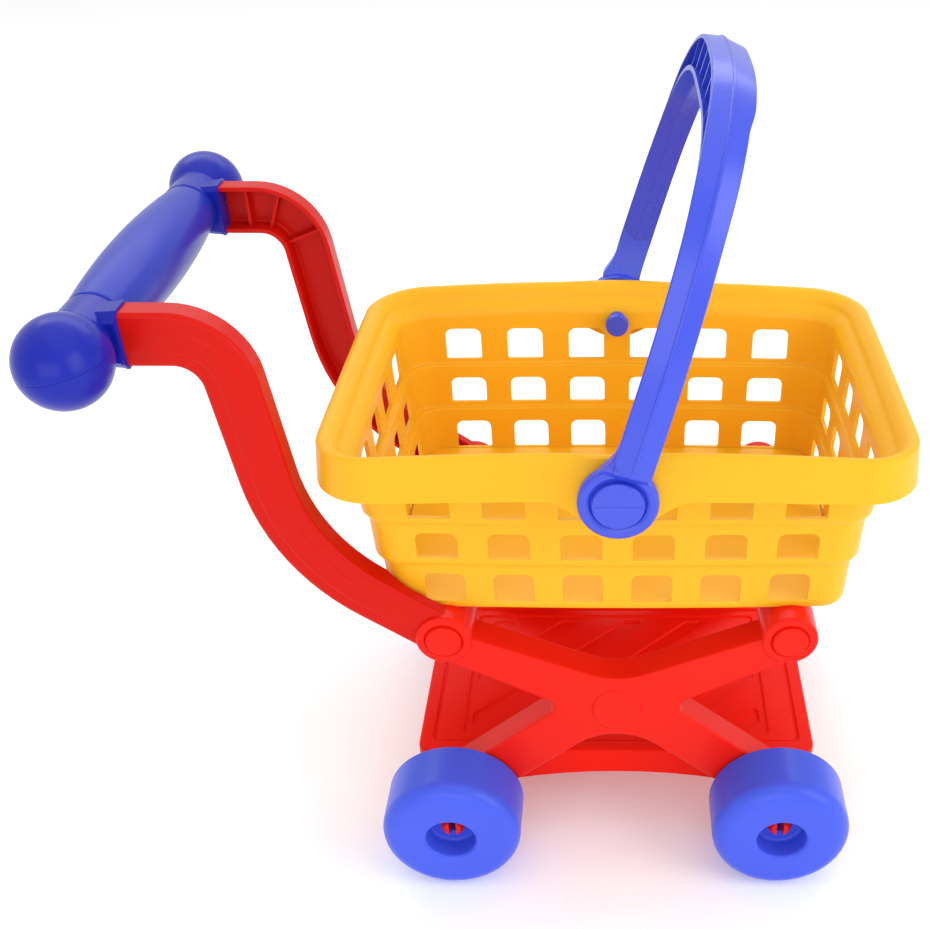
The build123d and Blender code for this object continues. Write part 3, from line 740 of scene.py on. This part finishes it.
# ---- handle -------------------------------------------------------------------------------
def handle_end_profile():
    """Ball, neck and spigot as one turned line of (radius, y), from the spigot to the ball's pole."""
    ball_y, half, radius, neck = -111.5, 23.3, 20.1, 14.5
    line = rounded([(AXIS, -60, 0), (11.8, -60, 1), (11.8, -72.9, 0), (neck - 0.6, -72.9, 0.5),
                    (neck, -74.5, 0.8), (neck, -94.5, 2)], False)
    meet, turns = math.acos(neck / radius), 26
    for k in range(turns + 1):
        t = meet - (meet + math.pi / 2) * k / turns
        line.append((max(AXIS, radius * math.cos(t)), ball_y + half * math.sin(t)))
    return line


def socket_rings():
    """Block with cut corners that the arm's end plugs into, with a thin flange at its mouth."""
    rings = []
    mouth, rim, cut, less = -217.7, 0.35, 4.2, 2.2
    for x, grow in ((BAR_X, -1.0), (mouth - 0.3, 0), (mouth, 0), (mouth + 0.2, rim), (mouth + 1.7, rim),
                    (mouth + 2.0, 0)):
        hy, hz = 9.1 + grow, 13.4 + grow
        shape = rounded([(a, b, 0.9) for a, b in (
            (-hy + cut, -hz), (hy - less, -hz), (hy, -hz + less), (hy, hz - less), (hy - less, hz),
            (-hy + cut, hz), (-hy, hz - cut), (-hy, -hz + cut))], turn=30)
        rings.append([(x, -84 + a, BAR_Z - 0.6 + b) for a, b in shape])
    return rings


def cut_half(whole, name, above):
    """A copy of the part of a solid above or below the shells' tipped seam, with a softened edge."""
    tilt, half_gap = math.radians(9), 0.00006
    normal = Vector((-math.sin(tilt), 0, math.cos(tilt)))
    centre = Vector((MIDDLE_X + BAR_X * MM, 0, BAR_Z * MM)) + normal * (half_gap if above else -half_gap)

    def cut(work):
        everything = work.verts[:] + work.edges[:] + work.faces[:]
        made = bmesh.ops.bisect_plane(work, geom=everything, dist=1e-7, plane_co=centre, plane_no=normal,
                                      clear_inner=above, clear_outer=not above)
        edges = [item for item in made["geom_cut"] if isinstance(item, bmesh.types.BMEdge)]
        lids = bmesh.ops.edgeloop_fill(work, edges=edges)["faces"]
        loop = list({edge for face in lids for edge in face.edges})
        bmesh.ops.bevel(work, geom=loop, offset=0.00028, segments=2, profile=0.5, affect="EDGES",
                        clamp_overlap=True)

    mesh = whole.data.copy()
    rework(mesh, cut, outwards)
    mesh.name = name
    smooth(mesh, 40)
    return placed(name, mesh)


def make_handle_ends():
    turned = Solid().turned(handle_end_profile(), BAR_X, BAR_Z, False, 96)
    block = Solid().skin(socket_rings())
    for side, body, mouth in (("right", turned, block), ("left", turned.mirrored(), block.mirrored())):
        whole = joined(body.build("whole_end", HANDLE_BLUE), mouth.build("socket", HANDLE_BLUE))
        for level, above in (("upper", True), ("lower", False)):
            node = "handle_end_" + side + "_" + level
            settle(cut_half(whole, node + "_shell", above), [node], "cart")
        bpy.data.objects.remove(whole)


make_handle_ends()


def grip_tree():
    """Geometry nodes: a turned barrel along Y, fattest in the middle, with rounded ends."""
    tree = bpy.data.node_groups.new("barrel_grip", "GeometryNodeTree")
    for name in ("Half Length", "End Radius", "Middle Radius", "Edge"):
        tree.interface.new_socket(name, in_out="INPUT", socket_type="NodeSocketFloat")
    tree.interface.new_socket("Material", in_out="INPUT", socket_type="NodeSocketMaterial")
    tree.interface.new_socket("Geometry", in_out="OUTPUT", socket_type="NodeSocketGeometry")
    grip = Wiring(tree)

    def add(kind, **inputs):
        """A geometry node whose inputs are named in lower case with underscores."""
        named = {key.replace("_", " ").title(): value for key, value in inputs.items()}
        return grip.node("GeometryNode" + kind, inputs=named).outputs[0]

    given = grip.node("NodeGroupInput")
    half, end, middle, edge = [Wire(grip, given.outputs[k]) for k in range(4)]
    start, stop = [grip.node("ShaderNodeCombineXYZ", inputs={"Y": y}).outputs[0]
                   for y in (half * -1.0, half)]
    line = add("ResampleCurve", curve=add("CurvePrimitiveLine", start=start, end=stop), count=240)
    place = add("InputPosition")
    along = Wire(grip, grip.node("ShaderNodeSeparateXYZ", inputs={0: place}).outputs["Y"])
    share = along / half
    swell = (middle - end) * (1.0 - share * share)
    near = 1.0 - ((half - along.maths("ABSOLUTE")) / edge).maths("MINIMUM", 1.0)
    drop = 1.0 - (1.0 - near * near).maths("SQRT")
    radius = end + swell - drop * edge
    ring = add("CurvePrimitiveCircle", resolution=96, radius=1.0)
    line = add("SetCurveRadius", curve=line, radius=radius)
    mesh = add("CurveToMesh", curve=line, profile_curve=ring, fill_caps=True, scale=radius)
    mesh = add("RealizeInstances", geometry=add("SetShadeSmooth", geometry=mesh))
    painted = add("SetMaterial", geometry=mesh, material=given.outputs["Material"])
    grip.node("NodeGroupOutput", inputs={0: painted})
    return tree


def make_grip():
    """The grip's tree, run with the sizes of the real one and turned into a plain mesh."""
    name, tree = "handle_grip_sleeve", grip_tree()
    made = placed(name, bpy.data.meshes.new(name + "_seed"))
    grow = made.modifiers.new("grow", "NODES")
    grow.node_group = tree
    values = {"Half Length": (GRIP_Y - 0.05) * MM, "End Radius": 14.2 * MM, "Middle Radius": GRIP_R * MM,
              "Edge": 1.4 * MM, "Material": GRIP_BLUE}
    for item in tree.interface.items_tree:
        if item.name in values:
            grow[item.identifier] = values[item.name]
    applied(made).data.name = name
    made.data.transform(Matrix.Translation((MIDDLE_X + BAR_X * MM, 0, BAR_Z * MM)))
    smooth(made.data, 50)
    settle(made, ["handle_grip"], "cart")


make_grip()


# ---- basket -------------------------------------------------------------------------------
WINDOW_W = 20.8
WINDOW_Z = ((224.0, 242.8), (197.7, 213.3), (168.6, 186.3))     # bottoms and tops, tier by tier
RIM_HALF = (RIM_HALF_X - 0.3, 101.4)
CELL = 8                               # steps across a lattice cell, and up it
CORNER_STEPS = 10


def plan_columns():
    """Columns round the basket as (side, share): four sides with lattice cells, four plain corners."""
    columns = []
    for side, cells in enumerate((LONG_CELLS, END_CELLS, LONG_CELLS, END_CELLS)):
        columns += [(side, -1 + 2 * k / (cells * CELL), True) for k in range(cells * CELL)]
        columns += [(side, k / CORNER_STEPS, False) for k in range(CORNER_STEPS)]
    return columns


def plan_point(column, half_x, half_y, radius, bow):
    """A point on a rounded rectangle whose long sides bow out; side 0 faces -Y, side 1 faces +X."""
    side, share, straight = column
    run_x, run_y = half_x - radius, half_y - radius
    if straight:
        swell = bow * (1 - share * share)
        facing = 1 if side in (1, 2) else -1
        if side in (0, 2):
            return -facing * share * run_x, facing * (half_y + swell)
        return facing * (half_x + swell * 0.5), facing * share * run_y
    angle = math.radians(-90 + 90 * side + 90 * share)
    x, y = (run_x if side < 2 else -run_x), (run_y if side in (1, 2) else -run_y)
    return x + radius * math.cos(angle), y + radius * math.sin(angle)


def wall_point(column, z, tier, deeper=0.0):
    """Inner surface of the basket's wall at a height."""
    shrink = WALL + deeper + (TIER_TOPS[tier] - z) * TAPER
    half_x, half_y = TIER_HALF_X[tier] - shrink, TIER_HALF_Y[tier] - shrink
    return (*plan_point(column, half_x, half_y, corner_radius(tier) - shrink, TIER_BOW), z)


def ear_swell(x):
    """How much the pads in the middle of the long sides stand out, 0 to 1."""
    return 0.5 + 0.5 * math.cos(math.pi * min(1.0, abs(x) / 36.0))


def rim_point(column, inward, out, z):
    """A point on the rim: inward goes from the rim's edge, 0, to the wall, 1; out moves it outwards."""
    side, share, straight = column
    ox, oy = plan_point(column, RIM_HALF[0] + out, RIM_HALF[1] + out, 30 + out, 0.4)
    wx, wy, _ = wall_point(column, 250, 0)
    x, y = ox + (wx - ox) * inward, oy + (wy - oy) * inward
    sag = 5.2 * (x / 140) ** 2
    if inward > 0.99:
        sag *= max(0.0, (z - 246.5) / 8)
    elif inward < 0.01:
        sag *= 1 - 0.45 * max(0.0, min(1.0, (258 - z) / 10))
    if straight and side in (0, 2):
        pad = ear_swell(x)
        lower = max(0.0, min(1.0, (262 - z) / 19))
        push = pad * (2.4 + 2.9 * min(1.0, lower * 2.5)) * (1 - inward)
        y += push if side == 2 else -push
        z -= 15.5 * pad * max(0.0, min(1.0, (252 - z) / 9)) * (1 - inward)
    return x, y, z - sag


# (0 at the rim's edge to 1 at the wall, outwards, height), from the wall over the top and down the skirt
RIM_LINE = (
    (1.0, 0, 246.5), (1.0, 0, 250.0), (0.97, 0, 253.6), (0.86, 0, 256.4), (0.72, 0, 258.4),
    (0.64, 0, 259.5), (0.58, 0, 260.4), (0.55, 0, 261.6), (0.50, 0, 262.9), (0.40, 0, 264.6),
    (0.30, 0, 265.9), (0.22, 0, 266.6), (0.13, 0, 266.9), (0.06, 0, 266.8), (0.0, 0.3, 266.1),
    (0.0, 0.7, 264.9), (0.0, 0.9, 263.0), (0.0, 1.2, 260.0), (0.0, 1.6, 256.0), (0.0, 1.9, 252.0),
    (0.0, 2.2, 248.5), (0.0, 2.5, 245.5), (0.0, 2.7, 243.4))


def window_loop(width, low, high):
    """A window's outline in (across, height), starting at its lower left corner, CELL steps a side."""
    half, soft, hard = width / 2, 4.2, 1.2
    corners = ((-half, low, hard), (half, low, hard), (half, high, soft), (-half, high, soft))
    sides = []
    for (ax, az, ar), (bx, bz, br) in zip(corners, corners[1:] + corners[:1]):
        length = math.hypot(bx - ax, bz - az)
        dx, dz = (bx - ax) / length, (bz - az) / length
        for k in range(CELL):
            if k <= 2:
                t = math.radians(45 + 22.5 * k)
                along, lift = ar - ar * math.cos(t), ar - ar * math.sin(t)
            elif k >= CELL - 2:
                t = math.radians(90 - 22.5 * (k - CELL + 2))
                along, lift = length - br + br * math.cos(t), br - br * math.sin(t)
            else:
                along = ar + (length - ar - br) * (k - 2) / (CELL - 4)
                lift = 0.0
            sides.append((ax + dx * along - dz * lift, az + dz * along + dx * lift))
    return sides


class Lattice:
    """The basket's wall as rows of points, one for each column, joined by strips of faces."""

    def __init__(self):
        self.columns = plan_columns()
        self.count = len(self.columns)
        self.points, self.faces, self.first_columns = [], [], []
        start = 0
        for cells in (LONG_CELLS, END_CELLS, LONG_CELLS, END_CELLS):
            self.first_columns += [start + CELL * k for k in range(cells)]
            start += cells * CELL + CORNER_STEPS

    def row(self, place):
        start = len(self.points)
        self.points += [place(column) for column in self.columns]
        return list(range(start, start + self.count))

    def strip(self, lower, upper, gaps=()):
        size = len(lower)
        self.faces += [(lower[k], upper[k], upper[(k + 1) % size], lower[(k + 1) % size])
                       for k in range(size) if k not in gaps]

    def level(self, tier, z, deeper=0.0):
        return self.row(lambda column: wall_point(column, z, tier, deeper))

    def tier(self, tier, low, high):
        """A grid of rows with a rounded window let into every cell; returns its first and last row."""
        rows = [self.level(tier, low + (high - low) * k / CELL) for k in range(CELL + 1)]
        gaps = set()
        for first in self.first_columns:
            gaps.update((first + k) % self.count for k in range(CELL))
            last = (first + CELL) % self.count
            loop = [rows[0][first + k] for k in range(CELL)] + [rows[k][last] for k in range(CELL)]
            loop += [rows[CELL][(first + CELL - k) % self.count] for k in range(CELL)]
            loop += [rows[CELL - k][first] for k in range(CELL)]
            side, share, _ = self.columns[first]
            long_side = side in (0, 2)
            centre = share + 1.0 / (LONG_CELLS if long_side else END_CELLS)
            run = (TIER_HALF_X if long_side else TIER_HALF_Y)[tier] - corner_radius(tier)
            bottom, top = WINDOW_Z[tier]
            for margin in (0.9, 0.0):
                start = len(self.points)
                for across, z in window_loop(WINDOW_W + 2 * margin, bottom - margin, top + margin):
                    self.points.append(wall_point((side, centre + across / run, True), z, tier))
                inner = list(range(start, len(self.points)))
                self.strip(loop, inner)
                loop = inner
        for lower, upper in zip(rows, rows[1:]):
            self.strip(lower, upper, gaps)
        return rows[0], rows[-1]


def wall_mesh():
    """The inner surface of the wall and the rim, from the floor up."""
    net = Lattice()
    below = net.level(2, 165.0, 0.8)
    step_out = ((0, 0, 0), (0.8, 0, -0.4), (1.0, 1, 0.5), (1.8, 1, 0))
    tiers = ((2, 166.6, 189.0, 193.6), (1, 196.4, 215.6, 220.3), (0, 222.9, 245.2, 0))
    for tier, low, high, shoulder in tiers:
        first, last = net.tier(tier, low, high)
        net.strip(below, first)
        below = last
        for rise, up, deeper in step_out if shoulder else ():
            above = net.level(tier - up, shoulder + rise, deeper)
            net.strip(below, above)
            below = above
    for inward, out, z in RIM_LINE:
        above = net.row(lambda column: rim_point(column, inward, out, z))
        net.strip(below, above)
        below = above
    mesh = bpy.data.meshes.new("basket_shell")
    mesh.from_pydata([(MIDDLE_X + x * MM, y * MM, z * MM) for x, y, z in net.points], [], net.faces)

    def face_inwards(work):
        bmesh.ops.remove_doubles(work, verts=work.verts, dist=1e-6)
        outwards(work)
        wall = Vector((MIDDLE_X, -0.09, 0.19))
        probe = min(work.faces, key=lambda face: (face.calc_center_median() - wall).length)
        if probe.normal.y < 0:
            bmesh.ops.reverse_faces(work, faces=work.faces)

    rework(mesh, face_inwards)
    mesh.materials.append(BASKET_YELLOW)
    return mesh


def make_basket():
    shell = placed("basket_moulding", wall_mesh())
    thick = shell.modifiers.new("thickness", "SOLIDIFY")
    thick.thickness = WALL * MM
    thick.offset = -1
    thick.use_even_offset = True
    thick.use_quality_normals = True
    soft = shell.modifiers.new("soft_edges", "BEVEL")
    soft.width = 0.55 * MM
    soft.segments = 2
    soft.limit_method = "ANGLE"
    soft.angle_limit = math.radians(50)
    soft.use_clamp_overlap = True
    applied(shell)
    outline = box_outline(TIER_HALF_X[2] - WALL - 1.0, TIER_HALF_Y[2] - WALL + 1.0, 16, 9)
    levels = [(1.2, 165.9), (0.4, 166.1), (0, 166.6), (0, 167.4), (0.3, 168.0), (1.2, 168.2)]
    plate = Solid().pad(outline, levels, lambda a, b, h: (a, b, h)).build("floor_plate", BASKET_YELLOW)
    rework(shell.data, lambda work: work.from_mesh(plate.data))
    bpy.data.objects.remove(plate)
    smooth(shell.data, 38)
    settle(shell, ["basket"], "basket_unit")


make_basket()


# ---- bail ---------------------------------------------------------------------------------
LEAN = math.radians(16.4)
SPRING = 10.0                          # height above the pivot at which the arches start
OUTER_ARCH = (124.0, 165.2, 2.75)      # half width, rise and roundness
INNER_ARCH = (119.0, 143.0, 3.4)
FOOT_S, FOOT_CURVE = 20.0, 6.5         # where the outer strap ends, and its rounded corner there


def lean(point):
    """Tips a point of the upright bail forward about its pivot."""
    x, y, s = point
    return (x * math.cos(LEAN) + s * math.sin(LEAN), y, PIVOT_Z - x * math.sin(LEAN) + s * math.cos(LEAN))


def arch(half, rise, power, foot, count):
    """A superellipse arch with legs that lean in, as evenly spaced (y, s) from foot to foot."""
    dense = []
    for k in range(721):
        t = math.pi * k / 720
        c, s = math.cos(t), math.sin(t)
        s = SPRING + rise * max(0.0, s) ** (2 / power)
        if s >= foot:
            lean_in = 1 - 0.05 * max(0.0, s - 20) / 100
            dense.append((-half * lean_in * math.copysign(abs(c) ** (2 / power), c), s))
    runs = [0.0]
    for (ya, sa), (yb, sb) in zip(dense, dense[1:]):
        runs.append(runs[-1] + math.hypot(yb - ya, sb - sa))
    line, k = [], 0
    for i in range(count + 1):
        want = runs[-1] * i / count
        while k < len(runs) - 2 and runs[k + 1] < want:
            k += 1
        share = (want - runs[k]) / (runs[k + 1] - runs[k])
        line.append(tuple(a + (b - a) * share for a, b in zip(dense[k], dense[k + 1])))
    return line


def with_normals(line):
    """Adds to each point of an open line its unit normal, which points away from the arch's middle."""
    out = []
    for i, (y, s) in enumerate(line):
        before, after = line[max(0, i - 1)], line[min(len(line) - 1, i + 1)]
        dy, ds = after[0] - before[0], after[1] - before[1]
        size = math.hypot(dy, ds)
        out.append((y, s, -ds / size, dy / size))
    return out


def ease(value, low, high):
    """0 below low and 1 above high, with a soft passage."""
    t = min(1.0, max(0.0, (value - low) / (high - low)))
    return t * t * (3 - 2 * t)


def strap_width(s):
    """Half the strap's width, which steps out where the hand holds it."""
    return 9.2 - 0.5 * ease(s, 30, 130) + 0.6 * ease(s, 116, 150)


def arch_reach(size, s):
    """Half width of a superellipse arch at a height, before its legs lean in."""
    half, rise, power = size
    share = min(1.0, max(0.0, (s - SPRING) / rise))
    return half * (1 - share ** power) ** (1 / power)


def room(s):
    """Thickness of the bail between its two faces at a height."""
    if s >= SPRING + INNER_ARCH[1]:
        return 9.0
    return 0.86 * (arch_reach(OUTER_ARCH, s) - arch_reach(INNER_ARCH, s))


def strap(line, section):
    """A strap swept along an arch; section gives (x, outwards) points for each height."""
    return [[(a, y + ny * b, s + ns * b) for a, b in rounded(section(s), turn=30)]
            for y, s, ny, ns in with_normals(line)]


def outer_section(s):
    """Two-facet roof with a fine raised seam; its back corner is rounded off at the foot."""
    w = strap_width(s)
    front = w + 1.6 * ease(s, 160, 168)
    away = max(0.0, min(FOOT_CURVE, FOOT_S + FOOT_CURVE - s))
    back = w - (FOOT_CURVE - math.sqrt(FOOT_CURVE ** 2 - away ** 2))
    roof, seam = -1.6, 0.35
    low = max(-3.6, min(-2.3, 0.5 - room(s)))
    return [(-back, roof - 0.6, 0.9), (-back + 0.5, roof, 0.8), (-0.8, -0.15, 0.1), (-0.45, seam, 0.1),
            (0.45, seam, 0.1), (0.8, -0.15, 0.1), (front - 0.5, roof, 0.8), (front, roof - 0.6, 0.9),
            (front, low, 0.3), (-back, low, 0.3)]


def inner_section(s):
    """Shallow two-facet underside with the same fine seam."""
    w = 8.0 + 0.5 * ease(s, 60, 120)
    seam = 0.35 * ease(s, 38, 48)
    back = min(3.2, max(0.8, room(s) - 1.7))
    edge = min(0.9, back * 0.5)
    return [(-w, edge, 0.3), (-0.55, 0.1, 0.1), (-0.3, 0.05 - seam, 0.1), (0.3, 0.05 - seam, 0.1),
            (0.55, 0.1, 0.1), (w, edge, 0.3), (w, back, 0.2), (-w, back, 0.2)]


def hollow_ribs():
    """The web that closes the front of the hollow between the straps, and the ribs that cross it."""
    solid = Solid()
    outside, inside = [with_normals(arch(*size, 24, 120)) for size in (OUTER_ARCH, INNER_ARCH)]
    web = []
    for (y, s, ny, ns), (v, t, my, ms) in zip(outside, inside):
        top, bottom = (y - ny * 2.2, s - ns * 2.2), (v + my * 0.4, t + ms * 0.4)
        web.append([(7.0, *bottom), (7.0, *top), (5.0, *top), (5.0, *bottom)])
    solid.skin(web)
    pitch, half_thick = 20.0, 0.9
    for k in range(-3, 4):
        y = pitch * k
        top = min(outside, key=lambda p: abs(p[0] - y))[1] - 2.0
        bottom = min(inside, key=lambda p: abs(p[0] - y))[1] + 1.5
        solid.skin([[(x, y + side * half_thick, s) for x, s in (
            (-6.8, bottom), (5.8, bottom), (5.8, top), (-6.8, top))] for side in (-1, 1)])
    return solid


def hinge_end():
    """Disc round the right pivot, dished towards the pin's head, and the block that joins the strap."""
    dish = rounded([
        (5.2, -108.6, 0.4), (18.2, -108.6, 1.0), (18.8, -110.5, 2), (18.8, -114.2, 1.6), (17.4, -115.4, 1.2),
        (14.9, -115.4, 1.0), (13.3, -114.5, 0.8), (12.6, -113.6, 0.3), (5.2, -113.4, 0.4)])
    rings = []
    for s, back, front, inner, outer in (
            (13, -12.4, 9.6, -111.0, -114.7), (15, -13.2, 9.5, -111.4, -116.4),
            (17, -13.0, 9.0, -112.0, -118.2), (19, -12.0, 8.6, -112.8, -119.7),
            (22, -10.8, 8.5, -113.9, -120.3), (26, -9.7, 8.6, -115.2, -120.1),
            (30, -9.2, 8.7, -116.2, -119.8), (36, -8.8, 8.5, -117.5, -119.6),
            (43, -8.3, 8.2, -118.5, -119.4)):
        section = ((back, inner), (front, inner), (front, outer), (back, outer))
        rings.append([(a, b, s) for a, b in rounded([(x, y, 0.7) for x, y in section], turn=30)])
    return Solid().turned(dish, 0, 0).skin(rings)


def make_bail():
    solid = Solid()
    solid.skin(strap(arch(*OUTER_ARCH, FOOT_S, 260), outer_section))
    solid.skin(strap(arch(*INNER_ARCH, 18, 200), inner_section))
    solid.add(hollow_ribs())
    end = hinge_end()
    solid.add(end).add(end.mirrored()).moved(lean)
    settle(solid.build("bail_moulding", BAIL_BLUE, 30), ["bail"], "bail_unit")


make_bail()


def make_pins():
    """Snap-in pins whose heads show a fine parting line across them."""
    face, half = PIN_FACE_Y, PIN_HEAD_R - 0.9
    line = rounded([
        (AXIS, -79.2, 0), (6.2, -79.2, 0.5), (7.0, -82, 0.3), (5.0, -82.1, 0.2), (5.0, -112.9, 0.2),
        (PIN_HEAD_R, -113.0, 0.4), (PIN_HEAD_R, face + 0.1, 1.1), (AXIS, face, 0)], False)
    right = Solid().turned(line, 0, PIVOT_Z, False)
    right.skin([[(x, y, PIVOT_Z + z) for x, z in ((-half, low), (half, low), (half, high), (-half, high))]
                for y, low, high in ((face + 0.3, -3.4, 0.5), (face - 0.3, -0.4, -0.1))])
    settle_pair(right, "bail_pin", BAIL_BLUE, "basket_unit")


make_pins()


# ---- floor and light ----------------------------------------------------------------------
def make_floor():
    mesh = bpy.data.meshes.new("floor")
    half, z = 6.0, -0.0002
    corners = [(-half, -half, z), (half, -half, z), (half, half, z), (-half, half, z)]
    mesh.from_pydata(corners, [], [(0, 1, 2, 3)])
    finish = Finish("pale_floor")
    grain = finish.noise(3)
    finish.set(base_color=finish.mix(grain, (0.93, 0.93, 0.93, 1), (0.96, 0.96, 0.96, 1)), roughness=0.9,
               emission_color=(1, 1, 1, 1), emission_strength=0.12)
    mesh.materials.append(finish.material)
    placed("floor", mesh)


def soft_light(name, place, aim, size, power):
    data = bpy.data.lights.new(name, "AREA")
    data.shape = "RECTANGLE"
    data.size, data.size_y = size
    data.energy = power
    lamp = placed(name, data)
    lamp.location = Vector(place)
    lamp.rotation_euler = (Vector(aim) - Vector(place)).to_track_quat("-Z", "Y").to_euler()


make_floor()
soft_light("top_softbox", (0.1, 0.1, 1.7), (0, 0, 0.2), (1.8, 1.4), 4)
soft_light("back_softbox", (-0.2, 1.5, 1.5), (0, 0, 0.3), (2.6, 0.7), 10)
soft_light("right_softbox", (1.3, -0.7, 0.9), (0, 0, 0.2), (0.9, 1.2), 8)
soft_light("front_fill", (-0.2, -1.7, 0.8), (0, 0, 0.15), (1.6, 1.0), 7)
world = bpy.data.worlds.new("studio")
world.use_nodes = True
world.node_tree.nodes["Background"].inputs[0].default_value = (1, 1, 1, 1)
world.node_tree.nodes["Background"].inputs[1].default_value = 0.85
bpy.context.scene.world = world
bpy.context.scene.view_settings.view_transform = "Standard"
